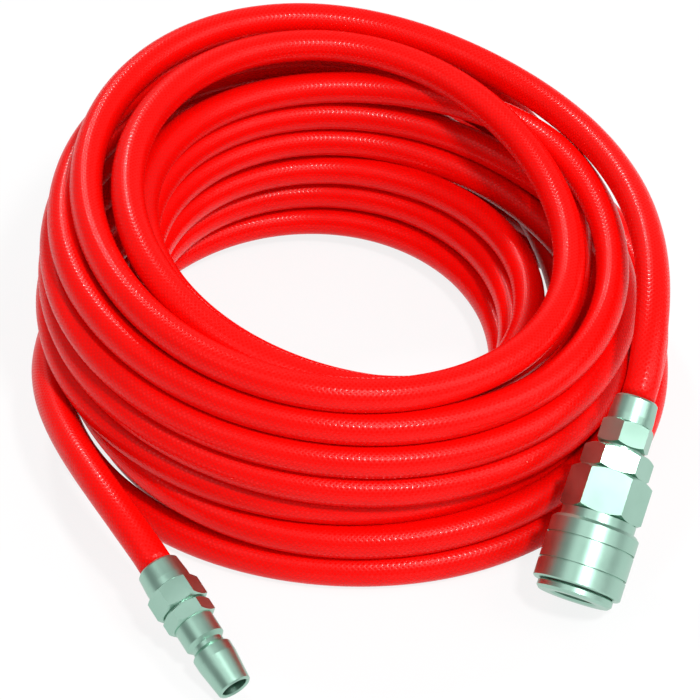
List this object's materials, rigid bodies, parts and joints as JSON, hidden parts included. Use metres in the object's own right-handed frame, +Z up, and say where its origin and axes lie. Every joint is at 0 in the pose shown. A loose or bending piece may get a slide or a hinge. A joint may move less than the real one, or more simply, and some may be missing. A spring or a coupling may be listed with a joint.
{
  "type": "coiled air hose",
  "caption": "Coiled braided air hose with a one-touch ball-lock socket on one end and a plug on the other.",
  "frame": {"origin": "middle of the bounding box on the floor that the coil lies on", "axes": "+Z up; +Y away from the two fittings, through the middle of the coil"},
  "size_m": [0.1985, 0.2442, 0.0874],
  "materials": {
    "hose": "glossy clear cover over a red braid",
    "plated_steel": "satin plated",
    "hard_steel": "polished",
    "spring_steel": "drawn wire",
    "brass": "turned",
    "seal_rubber": "matte"
  },
  "bodies": {
    "hose_and_fittings": {"hose_coil_lower": "hose", "hose_coil_upper": "hose", "hose_tail_socket": "hose", "hose_tail_plug": "hose", "hose_end_socket": "hose", "hose_end_plug": "hose", "socket_barrel": "plated_steel", "socket_body": "plated_steel", "hose_adapter": "plated_steel", "socket_hose_nut": "plated_steel", "plug_body": "plated_steel", "plug_hose_nut": "plated_steel", "sleeve_spring": "spring_steel", "valve_spring": "spring_steel", "plug_seal": "seal_rubber", "barrel_seal": "seal_rubber", "adapter_seal": "seal_rubber"},
    "sleeve": {"locking_sleeve": "plated_steel"},
    "valve": {"valve_poppet": "brass", "valve_seal": "seal_rubber"},
    "ball_1": {"locking_ball_1": "hard_steel"},
    "ball_2": {"locking_ball_2": "hard_steel"},
    "ball_3": {"locking_ball_3": "hard_steel"},
    "ball_4": {"locking_ball_4": "hard_steel"},
    "ball_5": {"locking_ball_5": "hard_steel"},
    "ball_6": {"locking_ball_6": "hard_steel"}
  },
  "joints": [
    {"name": "sleeve_slide", "type": "slide", "parent": "hose_and_fittings", "child": "sleeve", "axis": [0.3198, 0.7083, 0.6293], "range_m": [0, 0.0024], "stiffness_N_per_m": 1500, "springref_m": -0.008, "deforming": ["sleeve_spring"]},
    {"name": "valve_slide", "type": "slide", "parent": "hose_and_fittings", "child": "valve", "axis": [0.3198, 0.7083, 0.6293], "range_m": [0, 0.0034], "stiffness_N_per_m": 600, "springref_m": -0.006, "deforming": ["valve_spring"]},
    {"name": "ball_1_slide", "type": "slide", "parent": "hose_and_fittings", "child": "ball_1", "axis": [0.259, 0.5736, -0.7771], "range_m": [0, 0.0009]},
    {"name": "ball_2_slide", "type": "slide", "parent": "hose_and_fittings", "child": "ball_2", "axis": [-0.6598, 0.6432, -0.3886], "range_m": [0, 0.0009]},
    {"name": "ball_3_slide", "type": "slide", "parent": "hose_and_fittings", "child": "ball_3", "axis": [-0.9188, 0.0696, 0.3886], "range_m": [0, 0.0009]},
    {"name": "ball_4_slide", "type": "slide", "parent": "hose_and_fittings", "child": "ball_4", "axis": [-0.259, -0.5736, 0.7771], "range_m": [0, 0.0009]},
    {"name": "ball_5_slide", "type": "slide", "parent": "hose_and_fittings", "child": "ball_5", "axis": [0.6598, -0.6432, 0.3886], "range_m": [0, 0.0009]},
    {"name": "ball_6_slide", "type": "slide", "parent": "hose_and_fittings", "child": "ball_6", "axis": [0.9188, -0.0696, -0.3886], "range_m": [0, 0.0009]}
  ],
  "couplings": [
    {"joint": "ball_1_slide", "follows": "sleeve_slide", "ratio": 0.375},
    {"joint": "ball_2_slide", "follows": "sleeve_slide", "ratio": 0.375},
    {"joint": "ball_3_slide", "follows": "sleeve_slide", "ratio": 0.375},
    {"joint": "ball_4_slide", "follows": "sleeve_slide", "ratio": 0.375},
    {"joint": "ball_5_slide", "follows": "sleeve_slide", "ratio": 0.375},
    {"joint": "ball_6_slide", "follows": "sleeve_slide", "ratio": 0.375}
  ]
}
